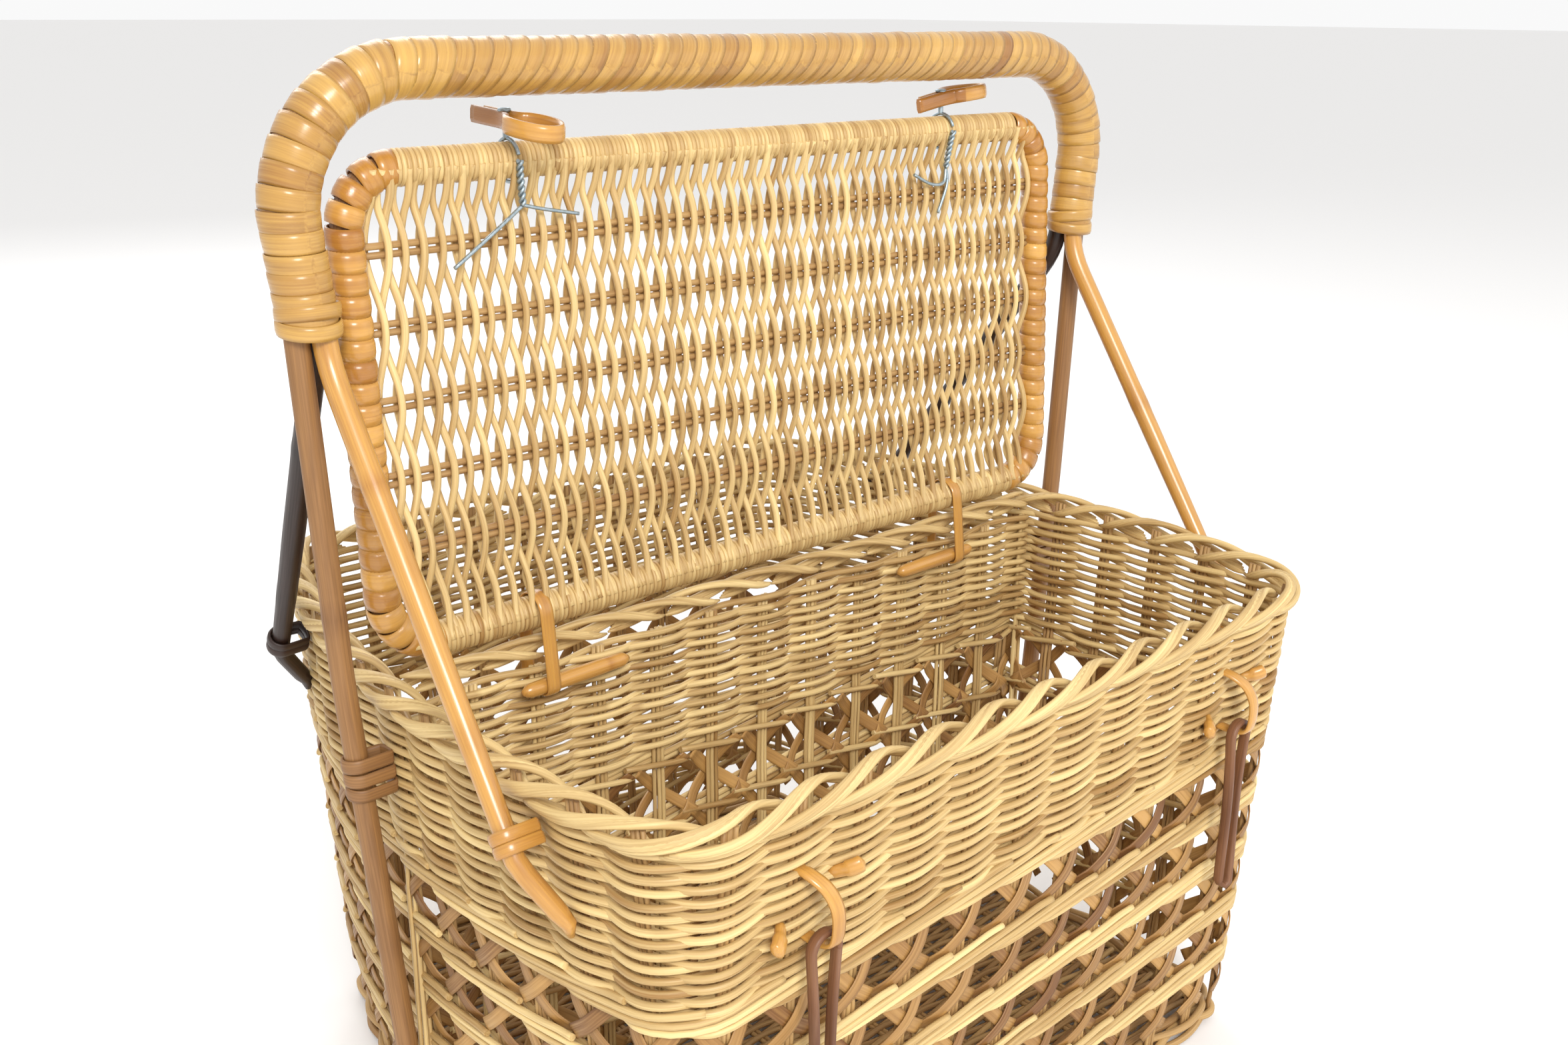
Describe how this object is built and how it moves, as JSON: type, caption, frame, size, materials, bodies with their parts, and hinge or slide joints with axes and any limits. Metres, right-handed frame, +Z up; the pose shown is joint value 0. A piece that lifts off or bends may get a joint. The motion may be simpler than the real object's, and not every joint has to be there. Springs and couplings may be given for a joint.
{
  "type": "picnic_basket",
  "caption": "Woven wicker picnic basket with a tall wrapped cane handle, a centre partition, one hinged woven lid with cane toggles, and leather thong loops on the front.",
  "frame": {"origin": "Middle of the basket's overall box at floor level, under the handle.", "axes": "+X to the right of someone facing the latches, +Y from the front wall to the rear wall, +Z up."},
  "size_m": [0.4518, 0.372, 0.482],
  "materials": {
    "reed": "peeled straw-yellow willow and reed, satin, fine lengthwise grain",
    "glossy_cane": "honey-coloured cane with its glossy skin left on",
    "brown_cane": "light brown round cane, dull, with darker nodes",
    "dark_cane": "near-black stained round cane, slightly glossy",
    "thong_leather": "worn brown leather strip with pale edges",
    "galvanised_wire": "dull blue-grey galvanised wire"
  },
  "bodies": {
    "basket": {"base_panel": "reed", "brace_loop_front_left": "brown_cane", "brace_loop_front_right": "brown_cane", "brace_loop_rear_left": "dark_cane", "brace_loop_rear_right": "dark_cane", "foot_wale": "reed", "front_staple_left": "glossy_cane", "front_staple_pegs_left": "glossy_cane", "front_staple_pegs_right": "glossy_cane", "front_staple_right": "glossy_cane", "handle_cane_centre": "brown_cane", "handle_cane_front": "glossy_cane", "handle_cane_rear": "dark_cane", "handle_wrap": "glossy_cane", "handle_wrap_end_left": "glossy_cane", "handle_wrap_end_right": "glossy_cane", "hinge_loop_left": "glossy_cane", "hinge_loop_right": "glossy_cane", "hinge_peg_left": "glossy_cane", "hinge_peg_right": "glossy_cane", "lattice_wall": "reed", "partition_band": "reed", "partition_lattice": "reed", "partition_rail": "reed", "post_lashing_left": "brown_cane", "post_lashing_right": "brown_cane", "rim_band": "reed", "rim_border": "reed"},
    "lid": {"latch_wire_left": "galvanised_wire", "latch_wire_right": "galvanised_wire", "lid_frame": "brown_cane", "lid_front_edge_wrap": "reed", "lid_panel": "reed", "lid_rear_edge_wrap": "reed", "lid_side_wrap_left": "glossy_cane", "lid_side_wrap_right": "glossy_cane", "lid_stakes": "reed"},
    "toggle_left": {"latch_toggle_left": "glossy_cane"},
    "toggle_right": {"latch_toggle_right": "glossy_cane"},
    "thong_left": {"thong_left": "thong_leather"},
    "thong_right": {"thong_right": "thong_leather"}
  },
  "joints": [
    {"name": "lid_hinge", "type": "hinge", "parent": "basket", "child": "lid", "pos_m": [0, 0, 0.253], "axis": [1, 0, 0], "range_deg": [0, 92.5]},
    {"name": "toggle_left_turn", "type": "hinge", "parent": "lid", "child": "toggle_left", "pos_m": [-0.122, 0.01068, 0.45021], "axis": [0, 0.0541, 0.9985], "range_deg": [-60, 60]},
    {"name": "toggle_right_turn", "type": "hinge", "parent": "lid", "child": "toggle_right", "pos_m": [0.122, 0.01068, 0.45021], "axis": [0, 0.0541, 0.9985], "range_deg": [-60, 60]},
    {"name": "thong_left_swing", "type": "hinge", "parent": "basket", "child": "thong_left", "pos_m": [-0.128, -0.18021, 0.18687], "axis": [-1, 0, 0], "range_deg": [0, 60]},
    {"name": "thong_right_swing", "type": "hinge", "parent": "basket", "child": "thong_right", "pos_m": [0.128, -0.18021, 0.18687], "axis": [-1, 0, 0], "range_deg": [0, 60]}
  ]
}
